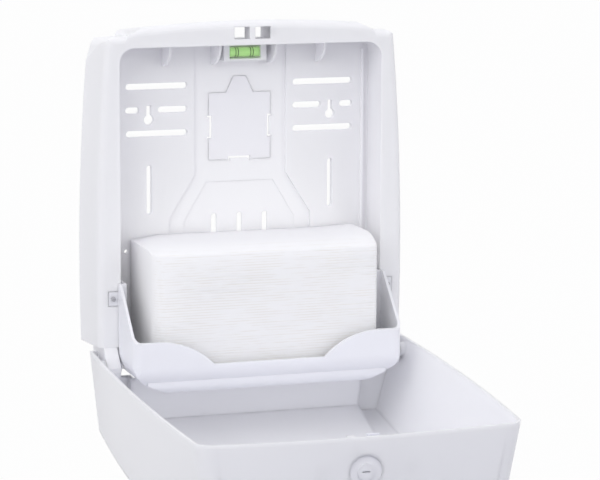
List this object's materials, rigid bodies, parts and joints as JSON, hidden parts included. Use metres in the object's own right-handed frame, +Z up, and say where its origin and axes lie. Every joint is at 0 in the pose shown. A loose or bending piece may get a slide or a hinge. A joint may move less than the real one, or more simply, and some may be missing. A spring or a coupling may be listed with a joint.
{
  "type": "folded towel dispenser",
  "caption": "Wall-mounted folded paper towel dispenser with its hinged front cover swung down open, showing the towel stack in its tray, the slotted back panel and a spirit level.",
  "frame": {"origin": "on the wall plane, at the centre of the four wall screw slots", "axes": "+X to the right as seen from the room, +Y into the wall, +Z up"},
  "size_m": [0.302, 0.3624, 0.4066],
  "materials": {
    "housing_plastic": "satin moulded plastic",
    "tray_plastic": "satin moulded plastic",
    "cover_plastic": "satin moulded plastic",
    "latch_plastic": "matt moulded plastic",
    "vial_clear": "clear",
    "vial_fluid": "clear green liquid",
    "vial_plug": "matt",
    "screw_steel": "zinc plated",
    "pin_steel": "bright",
    "washer_nylon": "matt",
    "lock_plastic": "satin moulded plastic",
    "lock_metal": "satin nickel",
    "spring_steel": "bright",
    "towel_paper": "soft creped paper"
  },
  "bodies": {
    "housing": {"back_housing": "housing_plastic", "hatch_plate": "housing_plastic", "level_holder": "housing_plastic", "level_vial": "vial_clear", "level_fluid": "vial_fluid", "level_plugs": "vial_plug", "towel_tray": "tray_plastic", "tray_screws": "screw_steel", "hinge_pins": "pin_steel", "hinge_washers": "washer_nylon"},
    "cover": {"front_cover": "cover_plastic", "lock_bracket": "latch_plastic", "bracket_screws": "screw_steel", "lock_sleeve": "lock_plastic", "lock_nut": "lock_metal", "latch_spring": "spring_steel"},
    "plug": {"lock_plug": "lock_plastic", "lock_cam": "lock_metal", "cam_screw": "screw_steel"},
    "latch": {"latch_slide": "latch_plastic"},
    "towels": {"towel_pack": "towel_paper"}
  },
  "joints": [
    {"name": "cover_swing", "type": "hinge", "parent": "housing", "child": "cover", "pos_m": [0, -0.05, -0.226], "axis": [1, 0, 0], "range_deg": [-92, 0]},
    {"name": "lock_turn", "type": "hinge", "parent": "cover", "child": "plug", "pos_m": [0, -0.35572, -0.25669], "axis": [0, 0.9994, 0.0349], "range_deg": [0, 90]},
    {"name": "latch_travel", "type": "slide", "parent": "cover", "child": "latch", "axis": [1, 0, 0], "range_m": [0, 0.0051], "deforming": ["latch_spring"]},
    {"name": "pack_lift", "type": "slide", "parent": "housing", "child": "towels", "axis": [0, 0, 1], "range_m": [0, 0.06]}
  ],
  "couplings": [
    {"joint": "latch_travel", "follows": "lock_turn", "m_per_rad": 0.0032411}
  ]
}
